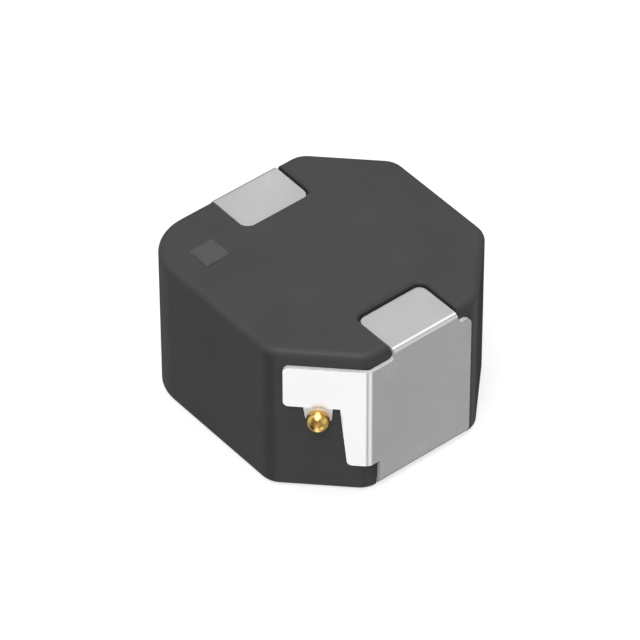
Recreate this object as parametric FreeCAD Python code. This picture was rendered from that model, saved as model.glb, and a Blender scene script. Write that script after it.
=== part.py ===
import FreeCAD, Part
import math
import os

# Shielded surface-mount power inductor. A ferrite drum, wound with round enamelled copper wire,
# sits in a square ferrite cup that shields it. Two folded clips of tinned sheet grip the cup, and
# each end of the wire comes out through a corner and is welded to a clip.
# Sizes are millimetres. +Z is up and +X points at the clip where the wire starts. The origin is
# the middle of the footprint, level with the solder faces of the clips.

V = FreeCAD.Vector
UP = V(0, 0, 1)

# Shield cup: three bevelled corners and one round one, open below
SHIELD_SIDE = 12.0
SHIELD_HEIGHT = 7.7
CORNER_BEVEL = 3.0
ROUND_CORNER = 2.4
EDGE_ROUND = 1.1
TOP_ROUND = 0.36
BOTTOM_ROUND = 0.12
ROOF = 1.4
BORE = 9.9
MOUTH_BEVEL = 0.15

# Drum core, pushed up into the cup and held by a ring of adhesive
DRUM_GAP = 0.2
DRUM_INSET = 0.2
FLANGE = 0.8
FLANGE_BEVEL = 0.1
POST = 4.9
ADHESIVE_HEIGHT = 0.6

# Winding: two layers of wire as one ridged body, with both ends leaving half way up
WIRE = 0.7
TURN_GAP = 0.04
RIDGE_ARC = math.radians(90)
RIDGE_FACES = 3
LEAD_BEND = 1.0
LEAD_DIVE = math.radians(55)
LEAD_RUNS = 5

# Clips, folded from sheet
SHEET = 0.18
STANDOFF = 0.06
PLATE_WIDTH = 5.0
PLATE_CORNER = 0.42
SHOULDER_DROP = 0.72
FOOT_REACH = 2.4
FOOT_BEND = 0.42
FOOT_CORNER = 0.3
HOOK_WIDTH = 3.48
HOOK_REACH = 2.46
HOOK_BEND = 0.08
HOOK_DROP = 0.2
HOOK_TILT = 1.0
HOOK_CORNER = 0.36
HOOK_GAP = 0.1
RIM_BEVEL = 0.1
NECK_ROUND = 0.2

# Wing of each clip, folded onto the bevelled corner beside it
WING_BEND = 0.36
WING_REACH = 3.61
WING_CORNER = 0.24
ARM_HEIGHT = 2.2
LEG_TOP_WIDTH = 1.19
LEG_BOTTOM_WIDTH = 0.885
LEG_BOTTOM = 1.6

# Tongue of the wing, forked round the wire, and the weld that closes it
TONGUE_WIDTH = 1.24
TONGUE_TIP_WIDTH = 1.12
TONGUE_TIP_DROP = 0.33
TONGUE_TIP_ROUND = 0.17
TONGUE_DROP = 0.64
TONGUE_BEND = 0.2
TONGUE_ANGLE = 15.0
WELD = 1.02
WELD_RISE = 0.26

# Printed mark beside the round corner
MARK_SIDE = 1.3
MARK_FROM_LEFT = 2.66
MARK_FROM_FRONT = 1.94
INK = 0.02

# Clearances
FIT = 0.03
SEAT_GAP = 0.06

# Levels and radii that follow
HALF = SHIELD_SIDE / 2
SHIELD_BOTTOM = STANDOFF
SHIELD_TOP = SHIELD_BOTTOM + SHIELD_HEIGHT
BORE_TOP = SHIELD_TOP - ROOF
BEVEL_LENGTH = CORNER_BEVEL * math.sqrt(2)
BEVEL_DISTANCE = (SHIELD_SIDE - CORNER_BEVEL) / math.sqrt(2)
DRUM_BOTTOM = SHIELD_BOTTOM + DRUM_INSET
DRUM_RADIUS = BORE / 2 - DRUM_GAP
WINDOW_BOTTOM = DRUM_BOTTOM + FLANGE
WINDOW_TOP = BORE_TOP - FLANGE
OUTER_LAYER = POST / 2 + TURN_GAP * 2 + WIRE * 1.5
PLATE_FACE = HALF + SHEET
SHOULDER = SHIELD_TOP - SHOULDER_DROP
ARM_BOTTOM = SHOULDER - ARM_HEIGHT
LEAD_LEVEL = ARM_BOTTOM - TONGUE_DROP
HOOK_CROWN = SHIELD_TOP - HOOK_DROP
HOOK_OUTER = HOOK_BEND + SHEET
TILT = math.radians(HOOK_TILT)
TONGUE_LEAN = math.radians(TONGUE_ANGLE)


def rounded(corners, place):
    """Closed wire through (u, v, radius) corners, each rounded, put in space by place(u, v)."""
    edges, ends = [], []
    for i, (u, v, r) in enumerate(corners):
        p = V(u, v, 0)
        a = V(*corners[i - 1][:2], 0) - p
        b = V(*corners[(i + 1) % len(corners)][:2], 0) - p
        if r == 0:
            ends.append((p, p))
            continue
        a.normalize()
        b.normalize()
        half = a.getAngle(b) / 2
        reach = r / math.tan(half)
        bisector = a + b
        bisector.normalize()
        middle = p + bisector * (r / math.sin(half) - r)
        ends.append((p + a * reach, p + b * reach))
        arc = [place(q.x, q.y) for q in (p + a * reach, middle, p + b * reach)]
        edges.append(Part.Arc(*arc).toShape())
    for i, (_, leave) in enumerate(ends):
        arrive = ends[(i + 1) % len(ends)][0]
        if leave.distanceToPoint(arrive) > 1e-6:
            edges.append(Part.makeLine(place(leave.x, leave.y), place(arrive.x, arrive.y)))
    return Part.Wire(Part.__sortEdges__(edges))


def slab(corners, place, along):
    """Solid made by moving a rounded outline along a vector."""
    return Part.Face(rounded(corners, place)).extrude(along)


def plan(z):
    """Places an outline in the horizontal plane at height z."""
    return lambda u, v: V(u, v, z)


def ring_sector(centre, axis, start, inner, outer, angle, length):
    """Part of a tube, from inner to outer radius, turned by an angle about an axis."""
    near = centre + start * inner
    far = centre + start * outer
    side = Part.makePolygon([near, far, far + axis * length, near + axis * length, near])
    return Part.Face(side).revolve(centre, axis, angle)


def turned(shape):
    """A copy turned half a turn about the vertical axis, for the opposite side."""
    copy = shape.copy()
    copy.rotate(V(), UP, 180)
    return copy


def edges_at(shape, z):
    """Edges that lie flat at one height."""
    return [e for e in shape.Edges if abs(e.BoundBox.ZMin - z) + abs(e.BoundBox.ZMax - z) < 1e-4]


# Frame of the bevelled corner that carries the wing: along it, out of it, and a place on it
ALONG = V(-1, -1, 0) / math.sqrt(2)
OUT = V(1, -1, 0) / math.sqrt(2)
BEVEL_START = V(HALF, CORNER_BEVEL - HALF, 0)


def on_bevel(s, n, z):
    """Point s along the bevel from its +X end, n out of its face, at height z."""
    return BEVEL_START + ALONG * s + OUT * n + UP * z


LEAD_PLACE = BEVEL_LENGTH / 2
TONGUE_FACE = OUT * math.cos(TONGUE_LEAN) - UP * math.sin(TONGUE_LEAN)
TONGUE_DOWN = -OUT * math.sin(TONGUE_LEAN) - UP * math.cos(TONGUE_LEAN)
WING_START = BEVEL_START + V(-WING_BEND, WING_BEND * math.tan(math.pi / 8), 0)


def hook_profile():
    """Key points of the hook's section at y = 0: bend centre, ends of the tilted flat."""
    centre = V(PLATE_FACE - HOOK_OUTER, 0, HOOK_CROWN - HOOK_OUTER)
    lean_up = V(-math.sin(TILT), 0, math.cos(TILT))
    lean_in = V(-math.cos(TILT), 0, -math.sin(TILT))
    flat_start = centre + lean_up * HOOK_OUTER
    end_x = PLATE_FACE - HOOK_REACH
    flat_length = (flat_start.x - end_x) / math.cos(TILT)
    return centre, lean_up, lean_in, flat_start, flat_length


def recess_floor():
    """Height of the hook's seat: its sprung edge rests on it."""
    _, lean_up, lean_in, flat_start, flat_length = hook_profile()
    return (flat_start + lean_in * flat_length - lean_up * SHEET).z


def hook_recess():
    """Seat of the hook in the cup's top: bevelled rim, and the cup's edge cut off under the bend."""
    floor = recess_floor()
    side = HOOK_WIDTH / 2 + HOOK_GAP

    def outline(grow, z):
        inner = PLATE_FACE - HOOK_REACH - HOOK_GAP - grow
        reach = HALF + HOOK_REACH + grow
        half = side + grow
        corner = HOOK_CORNER + HOOK_GAP + grow
        corners = [(inner, -half, corner), (reach, -half, 0), (reach, half, 0), (inner, half, corner)]
        return rounded(corners, plan(z))

    seat = Part.Face(outline(0, floor)).extrude(UP * SHIELD_HEIGHT)
    low = outline(0, SHIELD_TOP - RIM_BEVEL)
    high = outline(RIM_BEVEL * 2, SHIELD_TOP + RIM_BEVEL)
    rim = Part.makeLoft([low, high], True, True)
    below = [(HALF - HOOK_BEND, floor), (HALF, floor - HOOK_BEND), (PLATE_FACE, floor)]
    edge = [V(x, -side, z) for x, z in below]
    relief = Part.Face(Part.makePolygon(edge + edge[:1])).extrude(V(0, 2 * side, 0))
    return [seat, rim, relief]


def foot_recess():
    """Seat of the solder foot under the cup, with the cup's edge rounded to suit the bend."""
    inner = PLATE_FACE - FOOT_REACH - SEAT_GAP
    side = PLATE_WIDTH / 2 + SEAT_GAP
    level = SHEET
    bend_x = HALF - FOOT_BEND
    bend_z = SHEET + FOOT_BEND
    diagonal = FOOT_BEND / math.sqrt(2)
    middle = V(bend_x + diagonal, -side, bend_z - diagonal)
    arc = Part.Arc(V(bend_x, -side, level), middle, V(HALF, -side, bend_z)).toShape()
    corners = [V(HALF, -side, bend_z), V(SHIELD_SIDE, -side, bend_z), V(SHIELD_SIDE, -side, -SHEET)]
    corners += [V(inner, -side, -SHEET), V(inner, -side, level), V(bend_x, -side, level)]
    wire = Part.Wire([arc] + Part.makePolygon(corners).Edges)
    return Part.Face(wire).extrude(V(0, 2 * side, 0))


def tongue_depth():
    """How far the tip of the tongue's inner face lies inside the bevel's face."""
    straight = tongue_length() + TONGUE_TIP_DROP
    bend = TONGUE_BEND * (1 - math.cos(TONGUE_LEAN))
    return bend + straight * math.sin(TONGUE_LEAN)


def tongue_length():
    """Straight part of the tongue from its bend down to the level of the wire."""
    bend_drop = (TONGUE_BEND + SHEET) * math.sin(TONGUE_LEAN)
    return (TONGUE_DROP - bend_drop) / math.cos(TONGUE_LEAN)


def weld_place():
    """How far the middle of the weld stands out of the bevel's face."""
    surface = (TONGUE_BEND + SHEET) * math.cos(TONGUE_LEAN) - TONGUE_BEND
    return surface - tongue_length() * math.sin(TONGUE_LEAN) + WELD_RISE


def on_tongue(lift):
    """Places an outline on the inner face of the leaning tongue, lifted outwards."""
    root = on_bevel(LEAD_PLACE, -TONGUE_BEND, ARM_BOTTOM) + TONGUE_FACE * (TONGUE_BEND + lift)
    return lambda u, v: root + ALONG * u + TONGUE_DOWN * v


def tongue_outline(top, grow):
    """Outline of the tongue's flat from a level above its root, larger by grow at sides and tip."""
    half = TONGUE_WIDTH / 2 + grow
    tip = TONGUE_TIP_WIDTH / 2 + grow
    end = tongue_length() + TONGUE_TIP_DROP + grow
    corner = TONGUE_TIP_ROUND + grow
    return [(-half, -top, 0), (half, -top, 0), (tip, end, corner), (-tip, end, corner)]


def lead_slot():
    """Pocket shaped like the tongue, room for the weld, and the hole that lets the wire out."""
    pocket = slab(tongue_outline(TONGUE_BEND, FIT), on_tongue(-FIT), TONGUE_FACE * SHIELD_SIDE)
    start = on_bevel(LEAD_PLACE, -tongue_depth() - FIT, LEAD_LEVEL)
    room = Part.makeCylinder(WELD / 2, SHIELD_SIDE, start, OUT)
    hole = Part.makeCylinder(WIRE / 2 + SEAT_GAP, BEVEL_DISTANCE, UP * LEAD_LEVEL, OUT)
    return [pocket, room, hole]


def shield():
    bevel = HALF - CORNER_BEVEL
    outline = [
        (HALF, -bevel, EDGE_ROUND),
        (HALF, bevel, EDGE_ROUND),
        (bevel, HALF, EDGE_ROUND),
        (-bevel, HALF, EDGE_ROUND),
        (-HALF, bevel, EDGE_ROUND),
        (-HALF, -HALF, ROUND_CORNER),
        (bevel, -HALF, EDGE_ROUND),
    ]
    block = slab(outline, plan(SHIELD_BOTTOM), UP * SHIELD_HEIGHT)
    block = block.makeFillet(TOP_ROUND, edges_at(block, SHIELD_TOP))
    block = block.makeFillet(BOTTOM_ROUND, edges_at(block, SHIELD_BOTTOM))
    bore = Part.makeCylinder(BORE / 2, BORE_TOP, V())
    rim = BORE / 2 + MOUTH_BEVEL
    mouth = Part.makeCone(rim, BORE / 2, MOUTH_BEVEL, UP * SHIELD_BOTTOM)
    seats = hook_recess() + [foot_recess()] + lead_slot()
    return block.cut([bore, mouth] + seats + [turned(s) for s in seats])


def drum():
    height = BORE_TOP - DRUM_BOTTOM
    flange = Part.makeCylinder(DRUM_RADIUS, FLANGE, UP * DRUM_BOTTOM)
    flange = flange.makeChamfer(FLANGE_BEVEL, [e for e in flange.Edges if e.Length > BORE])
    upper = flange.translated(UP * (height - FLANGE))
    post = Part.makeCylinder(POST / 2, height, UP * DRUM_BOTTOM)
    return post.fuse([flange, upper]).removeSplitter()


def adhesive():
    """Ring of cured adhesive between the lower flange and the cup."""
    low = DRUM_BOTTOM + FLANGE_BEVEL
    outer = Part.makeCylinder(BORE / 2, ADHESIVE_HEIGHT, UP * low)
    return outer.cut(Part.makeCylinder(DRUM_RADIUS, ADHESIVE_HEIGHT, UP * low))


def winding_profile():
    """Section of the winding: straight against the post, one blunt ridge per turn outside."""
    pitch = WIRE + TURN_GAP
    turns = math.floor((WINDOW_TOP - WINDOW_BOTTOM) / pitch)
    low = (WINDOW_TOP + WINDOW_BOTTOM - turns * pitch) / 2
    high = low + turns * pitch
    inner = POST / 2 + TURN_GAP
    points = [V(inner, 0, low)]
    for i in range(turns):
        middle = low + pitch * (i + 0.5)
        for step in range(RIDGE_FACES + 1):
            angle = RIDGE_ARC * (2 * step / RIDGE_FACES - 1)
            out = OUTER_LAYER + WIRE / 2 * math.cos(angle)
            points.append(V(out, 0, middle + pitch / 2 * math.sin(angle)))
    points += [V(inner, 0, high), points[0]]
    return Part.Face(Part.makePolygon(points))


def lead():
    """End of the wire: straight in from the weld, then bent into the outer layer in short runs."""
    reach = math.sqrt((OUTER_LAYER + LEAD_BEND) ** 2 - LEAD_BEND ** 2)
    turn = math.pi / 2 - math.atan2(LEAD_BEND, reach) + LEAD_DIVE
    across = V(-OUT.y, OUT.x, 0)
    centre = OUT * reach + across * LEAD_BEND + UP * LEAD_LEVEL
    end = OUT * (BEVEL_DISTANCE + weld_place()) + UP * LEAD_LEVEL
    points = [end]
    for i in range(LEAD_RUNS + 1):
        angle = turn * i / LEAD_RUNS
        points.append(centre - (across * math.cos(angle) + OUT * math.sin(angle)) * LEAD_BEND)
    section = Part.Wire(Part.makeCircle(WIRE / 2, end, OUT))
    return Part.makePolygon(points).makePipeShell([section], True, False, 1)


def winding():
    """Both layers as one body of turns, with the two ends of the wire."""
    turns = winding_profile().revolve(V(), UP, 360)
    return turns.fuse([lead(), turned(lead())])


def plate():
    """Side plate, from the foot's bend up to the neck of the hook."""
    half = PLATE_WIDTH / 2
    neck = HOOK_WIDTH / 2
    neck_top = HOOK_CROWN - HOOK_OUTER
    outline = [
        (-half, SHEET + FOOT_BEND, 0),
        (half, SHEET + FOOT_BEND, 0),
        (half, SHOULDER, PLATE_CORNER),
        (neck, SHOULDER, NECK_ROUND),
        (neck, neck_top, 0),
        (-neck, neck_top, 0),
        (-neck, SHOULDER, NECK_ROUND),
        (WING_START.y, SHOULDER, 0),
        (WING_START.y, LEG_BOTTOM, 0),
        (-half, LEG_BOTTOM, 0),
    ]
    return slab(outline, lambda y, z: V(HALF, y, z), V(SHEET, 0, 0))


def hook():
    """Hook that grips the cup's top: a bend of more than a quarter turn, then a sprung flat."""
    centre, lean_up, lean_in, flat_start, flat_length = hook_profile()
    half = HOOK_WIDTH / 2
    edge = centre + V(0, half, 0)
    turn = 90 + HOOK_TILT
    bend = ring_sector(edge, V(0, -1, 0), V(1, 0, 0), HOOK_BEND, HOOK_OUTER, turn, HOOK_WIDTH)
    under = flat_start - lean_up * SHEET
    outline = [
        (0, -half, 0),
        (flat_length, -half, HOOK_CORNER),
        (flat_length, half, HOOK_CORNER),
        (0, half, 0),
    ]
    flat = slab(outline, lambda u, v: under + lean_in * u + V(0, v, 0), lean_up * SHEET)
    return [bend, flat]


def foot():
    """Solder foot, bent under the cup."""
    half = PLATE_WIDTH / 2
    outer = FOOT_BEND + SHEET
    bend_x = PLATE_FACE - outer
    bend = ring_sector(V(bend_x, -half, outer), V(0, 1, 0), V(1, 0, 0), FOOT_BEND, outer, 90, PLATE_WIDTH)
    end = PLATE_FACE - FOOT_REACH
    outline = [(bend_x, -half, 0), (bend_x, half, 0), (end, half, FOOT_CORNER), (end, -half, FOOT_CORNER)]
    return [bend, slab(outline, plan(0), UP * SHEET)]


def wing():
    """Wing on the bevelled corner: an arm across the top and a leg that narrows downwards."""
    top = WING_START + UP * SHOULDER
    height = SHOULDER - LEG_BOTTOM
    bend = ring_sector(top, -UP, V(1, 0, 0), WING_BEND, WING_BEND + SHEET, 45, height)
    start = (WING_START + OUT * WING_BEND - BEVEL_START).dot(ALONG)
    outline = [
        (start, LEG_BOTTOM, 0),
        (LEG_BOTTOM_WIDTH, LEG_BOTTOM, WING_CORNER),
        (LEG_TOP_WIDTH, ARM_BOTTOM, 0),
        (WING_REACH, ARM_BOTTOM, WING_CORNER),
        (WING_REACH, SHOULDER, WING_CORNER),
        (start, SHOULDER, 0),
    ]
    return [bend, slab(outline, lambda s, z: on_bevel(s, 0, z), OUT * SHEET)]


def tongue():
    """Tongue that leans in under the arm, forked to straddle the wire."""
    corner = on_bevel(LEAD_PLACE + TONGUE_WIDTH / 2, -TONGUE_BEND, ARM_BOTTOM)
    outer = TONGUE_BEND + SHEET
    bend = ring_sector(corner, -ALONG, OUT, TONGUE_BEND, outer, TONGUE_ANGLE, TONGUE_WIDTH)
    flat = slab(tongue_outline(0, 0), on_tongue(0), TONGUE_FACE * SHEET)
    wire = WIRE / 2 + FIT
    notch_start = on_bevel(LEAD_PLACE, -SHIELD_SIDE / 4, LEAD_LEVEL)
    notch = Part.makeCylinder(wire, SHIELD_SIDE / 2, notch_start, OUT)
    below = slab([(-wire, 0, 0), (wire, 0, 0), (wire, -TONGUE_DROP, 0), (-wire, -TONGUE_DROP, 0)],
                 lambda u, v: notch_start + ALONG * u + UP * v, OUT * SHIELD_SIDE / 2)
    return [bend, flat.cut([notch, below])]


def clip():
    """One clip, folded from a single piece of sheet."""
    return plate().fuse(hook() + foot() + wing() + tongue()).removeSplitter()


def weld():
    """Ball that the end of the wire melted into, closed round the fork of the tongue."""
    centre = on_bevel(LEAD_PLACE, weld_place(), LEAD_LEVEL)
    ball = Part.makeSphere(WELD / 2, centre)
    wire = Part.makeCylinder(WIRE / 2, WELD, centre, -OUT)
    return ball.cut([clip(), wire])


def mark():
    """Square of ink that shows the end where the wire starts."""
    corner = V(MARK_FROM_LEFT - HALF - MARK_SIDE / 2, MARK_FROM_FRONT - HALF - MARK_SIDE / 2, SHIELD_TOP)
    return Part.makeBox(MARK_SIDE, MARK_SIDE, INK, corner)


def build():
    parts = {
        "shield_core": shield(),
        "drum_core": drum(),
        "core_adhesive": adhesive(),
        "coil_winding": winding(),
        "terminal_start": clip(),
        "terminal_finish": turned(clip()),
        "weld_bead_start": weld(),
        "weld_bead_finish": turned(weld()),
        "polarity_mark": mark(),
    }
    os.makedirs("parts", exist_ok=True)
    for name, shape in parts.items():
        shape.exportStep("parts/" + name + ".step")
        print(name, len(shape.Solids), "solid, valid", shape.isValid(), "volume", round(shape.Volume, 3))


build()
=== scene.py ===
import math

import bmesh
import bpy
from mathutils import Matrix, Vector

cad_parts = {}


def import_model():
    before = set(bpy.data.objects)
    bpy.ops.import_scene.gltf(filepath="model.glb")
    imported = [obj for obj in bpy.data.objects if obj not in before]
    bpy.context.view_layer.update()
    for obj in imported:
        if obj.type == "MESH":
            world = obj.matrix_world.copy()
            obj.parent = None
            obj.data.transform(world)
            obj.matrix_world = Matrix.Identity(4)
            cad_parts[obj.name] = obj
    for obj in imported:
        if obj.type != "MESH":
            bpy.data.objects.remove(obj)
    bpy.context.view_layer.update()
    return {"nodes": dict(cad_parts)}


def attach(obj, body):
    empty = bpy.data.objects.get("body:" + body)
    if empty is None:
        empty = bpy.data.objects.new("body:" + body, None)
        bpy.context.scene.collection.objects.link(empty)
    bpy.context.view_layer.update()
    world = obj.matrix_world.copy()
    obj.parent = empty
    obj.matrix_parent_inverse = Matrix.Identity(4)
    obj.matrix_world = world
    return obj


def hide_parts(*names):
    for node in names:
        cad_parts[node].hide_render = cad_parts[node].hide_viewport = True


# Looks for the shielded inductor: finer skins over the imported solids, procedural materials,
# a pale floor, soft light and the camera of the photograph. Lengths are metres.

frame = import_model()

MM = 0.001
NODES = frame["nodes"]
WHITE = (1, 1, 1, 1)

# Material slot of each solid
SLOTS = {
    "shield_core": "ferrite",
    "drum_core": "ferrite",
    "core_adhesive": "adhesive",
    "coil_winding": "enamelled_copper",
    "terminal_start": "tinned_sheet",
    "terminal_finish": "tinned_sheet",
    "weld_bead_start": "weld",
    "weld_bead_finish": "weld",
    "polarity_mark": "ink",
}

# Camera: where it looks from, in degrees, the point it looks at, and its lens in millimetres
CAMERA_AZIMUTH = 50.7504
CAMERA_ELEVATION = 42.899
CAMERA_ROLL = -0.1738
CAMERA_DISTANCE = 224.065 * MM
CAMERA_AIM = Vector((-0.4293, -0.3728, 3.7643)) * MM
CAMERA_LENS = 292.295
CAMERA_SENSOR = 36.0
CAMERA_NEAREST = 0.01
CAMERA_FARTHEST = 10

# Floor: its reach each way, how far it lies below the part so that they don't coincide, its own
# shade, and the glow that takes it to white for the camera
FLOOR_REACH = 3.0
FLOOR_DROP = 0.005 * MM
FLOOR_SHADE = 0.3
FLOOR_GLOW = 0.66

# Strength of the even sky
SKY = 0.39

# Soft panels: azimuth, elevation, half width, softness of the edge, in degrees, and strength.
# A negative strength takes light out of the sky there.
PANELS = [
    (0, 90, 24, 12, 3.22),
    (-129, 43, 22, 12, 0.1),
    (39, -43, 12, 6, 1.8),
    (39, 5, 22, 14, 0.85),
    (39, -10, 10, 8, 1.2),
    (-38, 10, 18, 12, 0.6),
    (-55, 46, 14, 8, 0.7),
    (-45, -43, 16, 10, 0.12),
    (-51, 30, 24, 14, 0.08),
    (90, -43, 10, 7, 1.5),
    (160, -43, 12, 8, 0.6),
    (-135, -43, 22, 12, -0.36),
    (-6, -43, 16, 10, -0.37),
    (-118, -2, 14, 10, -0.34),
    (39, 60, 10, 8, 9.0),
    (165, 60, 7, 5, 1.2),
    (122, 12, 16, 10, 0.62),
    (39, -75, 10, 8, 1.6),
]

# Middle of each weld and of the painted dark reflection on it, a brown patch that stands in for the
# dark body mirrored in the bead, with x and y taken without their signs.
# A tongue is dull from the weld out to the two distances.
WELD_MIDDLE = Vector((4.699, 4.699, 4.2)) * MM
PAINTED_DARK_REFLECTION = Vector((4.954, 5.078, 4.426)) * MM
DULL_FULL = 0.95 * MM
DULL_END = 1.1 * MM

# Lower edge of the clips' wings, where the tongues start, and how soon below it they are dull
WING_EDGE = 4.84 * MM
WING_FADE = 0.06 * MM

# Middle of the printed mark, and how far from it the ink starts to wear and has gone
MARK_MIDDLE = Vector((-3.34, -4.06, 7.76)) * MM
WEAR_START = 0.54 * MM
WEAR_END = 0.72 * MM

# Angles between faces: below FLAT they are merged, above CREASE an edge stays sharp, and within
# SPREAD a rounding takes its shading from the face beside it
FLAT = math.radians(0.5)
CREASE = math.radians(28)
SPREAD = math.radians(70)

# Sheared edges of the sheet: their rounding, and the widest face that counts as such an edge,
# with the least share of its border that is sharp
SHEET_EDGE = 0.06 * MM
EDGE_FACE = 0.2 * MM
EDGE_SHARP = 0.12

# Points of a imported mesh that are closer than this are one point
SAME_POINT = 0.0005 * MM

# Part of a noise's range that the materials use
RANGE = (0.15, 0.85)

# Sockets of the colour mix node, whose names repeat
MIX_SHARE, MIX_FIRST, MIX_SECOND, MIX_RESULT = 0, 6, 7, 2


def new_material(name):
    """Empty node material with its shader."""
    material = bpy.data.materials.new(name)
    material.use_nodes = True
    tree = material.node_tree
    tree.nodes.clear()
    output = tree.nodes.new("ShaderNodeOutputMaterial")
    shader = tree.nodes.new("ShaderNodeBsdfPrincipled")
    tree.links.new(shader.outputs["BSDF"], output.inputs["Surface"])
    return material, tree, shader


def node(tree, kind, inputs=None, **settings):
    """Adds a node, sets its options and its inputs: a value, or a socket to link."""
    made = tree.nodes.new(kind)
    for key, value in settings.items():
        setattr(made, key, value)
    for key, value in (inputs or {}).items():
        if isinstance(value, bpy.types.NodeSocket):
            tree.links.new(value, made.inputs[key])
        else:
            made.inputs[key].default_value = value
    return made


def own_coordinates(tree):
    return node(tree, "ShaderNodeTexCoord").outputs["Object"]


def noise(tree, scale, detail=2.0, roughness=0.5, where=None):
    """Noise over the object's own coordinates; scale is in waves per metre."""
    inputs = {"Vector": where or own_coordinates(tree), "Scale": scale, "Detail": detail}
    inputs["Roughness"] = roughness
    return node(tree, "ShaderNodeTexNoise", inputs).outputs["Fac"]


def ramp(tree, value, low, high, start=0.0, end=1.0):
    """Two-colour ramp between start and end of a value."""
    made = node(tree, "ShaderNodeValToRGB", {"Fac": value})
    stops = made.color_ramp.elements
    stops[0].position, stops[0].color = start, (*low, 1)
    stops[1].position, stops[1].color = end, (*high, 1)
    return made.outputs["Color"]


def span(tree, value, low, high, start=0.0, end=1.0):
    """Maps a value from start..end to low..high."""
    inputs = {"Value": value, "From Min": start, "From Max": end, "To Min": low, "To Max": high}
    return node(tree, "ShaderNodeMapRange", inputs).outputs["Result"]


def blend(tree, share, first, second):
    """Colour that goes from the first to the second with a share."""
    inputs = {MIX_SHARE: share, MIX_FIRST: first, MIX_SECOND: (*second, 1)}
    return node(tree, "ShaderNodeMix", inputs, data_type="RGBA").outputs[MIX_RESULT]


def maths(tree, operation, *terms):
    """Result of a sum on values or sockets."""
    return node(tree, "ShaderNodeMath", dict(enumerate(terms)), operation=operation).outputs[0]


def vector_maths(tree, operation, *terms, result="Vector"):
    """Result of a sum on vectors or their sockets."""
    made = node(tree, "ShaderNodeVectorMath", dict(enumerate(terms)), operation=operation)
    return made.outputs[result]


def axes(tree, where):
    """Sockets of a vector's three parts."""
    return node(tree, "ShaderNodeSeparateXYZ", {"Vector": where}).outputs


def distance(tree, where, point):
    """Distance from a point that is the same at both clips, as the far one is half a turn away."""
    side = vector_maths(tree, "ABSOLUTE", where)
    return vector_maths(tree, "DISTANCE", side, point, result="Value")


def ragged(tree, reach, scale, uneven, spread):
    """A distance made uneven by noise, which spreads about its middle value."""
    shift = span(tree, noise(tree, scale, detail=3), -uneven, uneven, 0.5 - spread, 0.5 + spread)
    return maths(tree, "ADD", reach, shift)


def bump(tree, shader, height, strength, depth):
    """Adds a bump from a height to a shader."""
    inputs = {"Height": height, "Strength": strength, "Distance": depth}
    made = node(tree, "ShaderNodeBump", inputs)
    tree.links.new(made.outputs["Normal"], shader.inputs["Normal"])


def grey(level):
    return (level, level, level)


def ferrite_material():
    """Sintered and ground ferrite: near matt dark grey with fine grain and faint mottling."""
    material, tree, shader = new_material("ferrite")
    mottle = noise(tree, 420, detail=4)
    shade = ramp(tree, mottle, grey(0.0410), grey(0.0495), *RANGE)
    grain = noise(tree, 9000, detail=3, roughness=0.6)
    shader.inputs["Specular IOR Level"].default_value = 0.1
    tree.links.new(shade, shader.inputs["Base Color"])
    tree.links.new(span(tree, grain, 0.31, 0.45, *RANGE), shader.inputs["Roughness"])
    bump(tree, shader, grain, 0.12, 0.01 * MM)
    return material


def tinned_material():
    """Tin-plated sheet: satin with faint drawing lines, and dull on the tongues that were welded."""
    material, tree, shader = new_material("tinned_sheet")
    where = own_coordinates(tree)
    stretched = node(tree, "ShaderNodeMapping", {"Vector": where, "Scale": (60, 60, 4)})
    lines = noise(tree, 60, detail=3, where=stretched.outputs["Vector"])
    cloud = noise(tree, 500, detail=3)
    near = span(tree, distance(tree, where, WELD_MIDDLE), 1.0, 0.0, DULL_FULL, DULL_END)
    below = span(tree, axes(tree, where)["Z"], 1.0, 0.0, WING_EDGE - WING_FADE, WING_EDGE)
    dull = maths(tree, "MULTIPLY", near, below)
    rolled = ramp(tree, cloud, grey(0.557), grey(0.643))
    gloss = span(tree, cloud, 0.193, 0.307)
    tint = blend(tree, dull, rolled, (0.83, 0.83, 0.87))
    tree.links.new(tint, shader.inputs["Base Color"])
    tree.links.new(maths(tree, "MULTIPLY_ADD", dull, 0.35, gloss), shader.inputs["Roughness"])
    tree.links.new(span(tree, dull, 0.65, 0.1), shader.inputs["Metallic"])
    bump(tree, shader, lines, 0.02, 0.01 * MM)
    return material


def sheared_material():
    """Sheared edge of the tinned sheet: pale and matt."""
    material, tree, shader = new_material("sheared_edge")
    streaks = noise(tree, 4000, detail=3)
    shade = ramp(tree, streaks, grey(0.52), grey(0.64), *RANGE)
    shader.inputs["Metallic"].default_value = 0.3
    shader.inputs["Roughness"].default_value = 0.5
    tree.links.new(shade, shader.inputs["Base Color"])
    bump(tree, shader, streaks, 0.1, 0.01 * MM)
    return material


def weld_material():
    """Melted end of the copper wire: glossy and golden, with a painted dark reflection in brown on one
    side.
    """
    material, tree, shader = new_material("weld")
    cloud = noise(tree, 1500)
    gold = ramp(tree, cloud, (0.76, 0.48, 0.12), (0.89, 0.62, 0.21), 0.2, 0.8)
    # Brown patch round a fixed point of each bead: a painted dark reflection, not a scorch.
    reach = distance(tree, own_coordinates(tree), PAINTED_DARK_REFLECTION)
    painted_reflection_share = span(tree, ragged(tree, reach, 5000, 0.06 * MM, 0.2), 1.0, 0.0, 0.1 * MM, 0.3 * MM)
    tint = blend(tree, painted_reflection_share, gold, (0.30, 0.15, 0.045))
    shader.inputs["Metallic"].default_value = 1.0
    tree.links.new(tint, shader.inputs["Base Color"])
    tree.links.new(span(tree, cloud, 0.17, 0.35, *RANGE), shader.inputs["Roughness"])
    return material


def copper_material():
    """Enamelled copper wire."""
    material, tree, shader = new_material("enamelled_copper")
    cloud = noise(tree, 1200)
    tint = ramp(tree, cloud, (0.42, 0.13, 0.04), (0.55, 0.19, 0.06), *RANGE)
    shader.inputs["Metallic"].default_value = 1.0
    shader.inputs["Coat Weight"].default_value = 0.6
    shader.inputs["Roughness"].default_value = 0.3
    tree.links.new(tint, shader.inputs["Base Color"])
    return material


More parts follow.
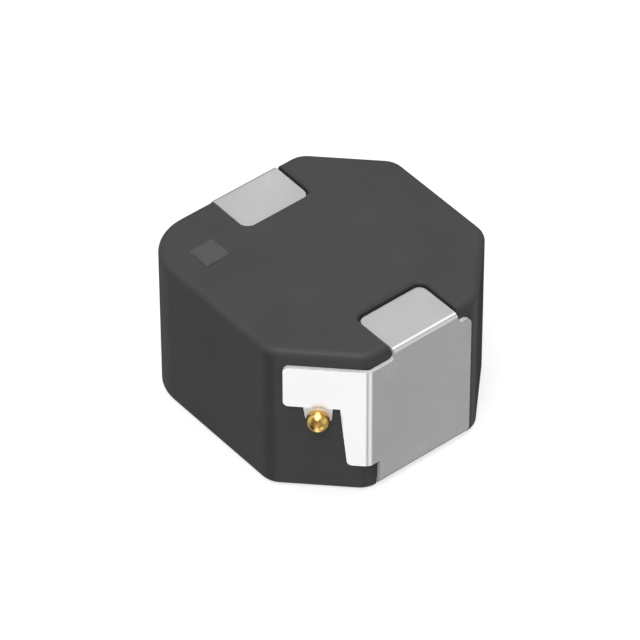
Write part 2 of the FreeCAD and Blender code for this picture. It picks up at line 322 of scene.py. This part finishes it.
def adhesive_material():
    """Cured adhesive between the drum and the cup."""
    material, tree, shader = new_material("adhesive")
    cloud = noise(tree, 900, detail=3)
    shade = ramp(tree, cloud, grey(0.15), grey(0.23), *RANGE)
    shader.inputs["Roughness"].default_value = 0.35
    tree.links.new(shade, shader.inputs["Base Color"])
    bump(tree, shader, cloud, 0.3, 0.04 * MM)
    return material


def ink_material():
    """Faded grey ink of the mark, worn thin towards its edges."""
    material, tree, shader = new_material("ink")
    off = vector_maths(tree, "SUBTRACT", own_coordinates(tree), MARK_MIDDLE)
    side = axes(tree, vector_maths(tree, "ABSOLUTE", off))
    reach = maths(tree, "MAXIMUM", side["X"], side["Y"])
    edge = ragged(tree, reach, 2500, 0.1 * MM, 0.3)
    wear = span(tree, edge, 0.0, 1.0, WEAR_START, WEAR_END)
    ink = ramp(tree, noise(tree, 3000, detail=4), grey(0.038), grey(0.054), *RANGE)
    tree.links.new(blend(tree, wear, ink, grey(0.045)), shader.inputs["Base Color"])
    tree.links.new(span(tree, wear, 0.5, 0.1), shader.inputs["Specular IOR Level"])
    tree.links.new(span(tree, wear, 0.6, 0.38), shader.inputs["Roughness"])
    return material


def soften(mesh):
    """Rounds the sharp edges of a sheet's mesh with two facets and returns the new faces.

    They and the sheared faces between them take the second material."""
    bmesh.ops.dissolve_limit(mesh, angle_limit=FLAT, verts=mesh.verts[:], edges=mesh.edges[:])
    sharp = [e for e in mesh.edges if len(e.link_faces) == 2 and e.calc_face_angle() > CREASE]
    known = set(sharp)
    for face in mesh.faces:
        border = sum(e.calc_length() for e in face.edges)
        cut = sum(e.calc_length() for e in face.edges if e in known)
        narrow = 2 * face.calc_area() / border < EDGE_FACE
        face.material_index = int(narrow and cut > border * EDGE_SHARP)
    made = bmesh.ops.bevel(mesh, geom=sharp, offset=SHEET_EDGE, offset_type="OFFSET", segments=2,
                           profile=0.5, affect="EDGES", clamp_overlap=True)
    for face in made["faces"]:
        face.material_index = 1
    return set(made["faces"])


def corner_normal(face, vert, rounds):
    """Normal of a face at one corner: that of the flats beside it, or else of the rounding."""
    limit = SPREAD if face in rounds else CREASE
    beside = [f for f in vert.link_faces if f not in rounds and f.normal.angle(face.normal, 0) < limit]
    if face in rounds and not beside:
        beside = [f for f in vert.link_faces if f in rounds]
    total = Vector()
    for other in beside or [face]:
        total += other.normal * other.calc_area()
    return total.normalized()


def skin(name, material, edge=None):
    """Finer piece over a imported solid: its mesh made whole, smooth except at real edges.

    With a material for sheared edges, those edges are rounded too."""
    mesh = bmesh.new()
    mesh.from_mesh(NODES[name].data)
    bmesh.ops.remove_doubles(mesh, verts=mesh.verts, dist=SAME_POINT)
    rounds = soften(mesh) if edge else set()
    mesh.normal_update()
    for face in mesh.faces:
        face.smooth = True
    normals = [corner_normal(f, loop.vert, rounds) for f in mesh.faces for loop in f.loops]
    data = bpy.data.meshes.new(name + "_skin")
    mesh.to_mesh(data)
    mesh.free()
    data.normals_split_custom_set(normals)
    data.materials.append(material)
    if edge:
        data.materials.append(edge)
    piece = bpy.data.objects.new(name + "_skin", data)
    bpy.context.scene.collection.objects.link(piece)
    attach(piece, "root")
    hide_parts(name)
    return piece


def build_object():
    """Puts a skin with its slot's material over every solid."""
    materials = {
        "ferrite": ferrite_material(),
        "adhesive": adhesive_material(),
        "enamelled_copper": copper_material(),
        "tinned_sheet": tinned_material(),
        "weld": weld_material(),
        "ink": ink_material(),
    }
    sheared = sheared_material()
    for name, slot in SLOTS.items():
        edge = sheared if slot == "tinned_sheet" else None
        skin(name, materials[slot], edge)


def for_camera(tree, shown, otherwise):
    """One surface for what the camera sees itself, and another for all other light."""
    path = node(tree, "ShaderNodeLightPath")
    mix = node(tree, "ShaderNodeMixShader", {"Fac": path.outputs["Is Camera Ray"]})
    tree.links.new(otherwise, mix.inputs[1])
    tree.links.new(shown, mix.inputs[2])
    return mix.outputs["Shader"]


def floor():
    """Plain pale floor: white to the camera, with the object's soft shadow.

    It isn't mirrored in the object, as the panels stand for what lies below it too."""
    material, tree, shader = new_material("floor")
    shader.inputs["Base Color"].default_value = (*grey(FLOOR_SHADE), 1)
    shader.inputs["Roughness"].default_value = 0.9
    plain = shader.outputs["BSDF"]
    glow = node(tree, "ShaderNodeEmission", {"Color": WHITE, "Strength": FLOOR_GLOW})
    lit = node(tree, "ShaderNodeAddShader", {0: plain, 1: glow.outputs["Emission"]})
    output = next(n for n in tree.nodes if n.type == "OUTPUT_MATERIAL")
    tree.links.new(for_camera(tree, lit.outputs["Shader"], plain), output.inputs["Surface"])
    data = bpy.data.meshes.new("floor")
    corners = [(x * FLOOR_REACH, y * FLOOR_REACH, 0) for x, y in ((-1, -1), (1, -1), (1, 1), (-1, 1))]
    data.from_pydata(corners, [], [(0, 1, 2, 3)])
    data.materials.append(material)
    piece = bpy.data.objects.new("floor", data)
    piece.location.z = -FLOOR_DROP
    bpy.context.scene.collection.objects.link(piece)
    piece.visible_glossy = False


def direction(azimuth, elevation):
    """Unit vector from the object towards an azimuth and elevation, in degrees."""
    a, e = math.radians(azimuth), math.radians(elevation)
    return Vector((math.sin(a) * math.cos(e), -math.cos(a) * math.cos(e), math.sin(e)))


def panel(tree, where, azimuth, elevation, width, soft, strength):
    """Soft round panel of the studio: its light in the direction that a ray leaves."""
    facing = vector_maths(tree, "DOT_PRODUCT", where, direction(azimuth, elevation), result="Value")
    inner = math.cos(math.radians(max(width - soft, 0)))
    outer = math.cos(math.radians(width + soft))
    inputs = {"Value": facing, "From Min": outer, "From Max": inner, "To Max": strength}
    shade = node(tree, "ShaderNodeMapRange", inputs, interpolation_type="SMOOTHSTEP")
    return shade.outputs["Result"]


def world():
    """White to the camera. To the object it is an even sky with soft panels round it."""
    made = bpy.data.worlds.new("studio")
    made.use_nodes = True
    tree = made.node_tree
    tree.nodes.clear()
    output = node(tree, "ShaderNodeOutputWorld")
    where = node(tree, "ShaderNodeTexCoord").outputs["Generated"]
    total = node(tree, "ShaderNodeValue").outputs[0]
    total.default_value = SKY
    for row in PANELS:
        total = maths(tree, "ADD", total, panel(tree, where, *row))
    sky = node(tree, "ShaderNodeBackground", {"Color": WHITE, "Strength": total})
    plain = node(tree, "ShaderNodeBackground", {"Color": WHITE, "Strength": 1.0})
    seen = for_camera(tree, plain.outputs["Background"], sky.outputs["Background"])
    tree.links.new(seen, output.inputs["Surface"])
    bpy.context.scene.world = made


def camera():
    """Camera of the photograph, turned a little about its own line of sight."""
    data = bpy.data.cameras.new("camera")
    data.sensor_width = CAMERA_SENSOR
    data.lens = CAMERA_LENS
    data.clip_start = CAMERA_NEAREST
    data.clip_end = CAMERA_FARTHEST
    piece = bpy.data.objects.new("camera", data)
    back = direction(CAMERA_AZIMUTH, CAMERA_ELEVATION)
    a, k = math.radians(CAMERA_AZIMUTH), math.radians(CAMERA_ROLL)
    level = Vector((math.cos(a), math.sin(a), 0))
    right = level * math.cos(k) + back.cross(level) * math.sin(k)
    up = back.cross(right)
    turn = Matrix((right, up, back)).transposed().to_4x4()
    piece.matrix_world = Matrix.Translation(CAMERA_AIM + back * CAMERA_DISTANCE) @ turn
    bpy.context.scene.collection.objects.link(piece)
    bpy.context.scene.camera = piece


build_object()
floor()
world()
camera()
bpy.context.scene.view_settings.view_transform = "Standard"
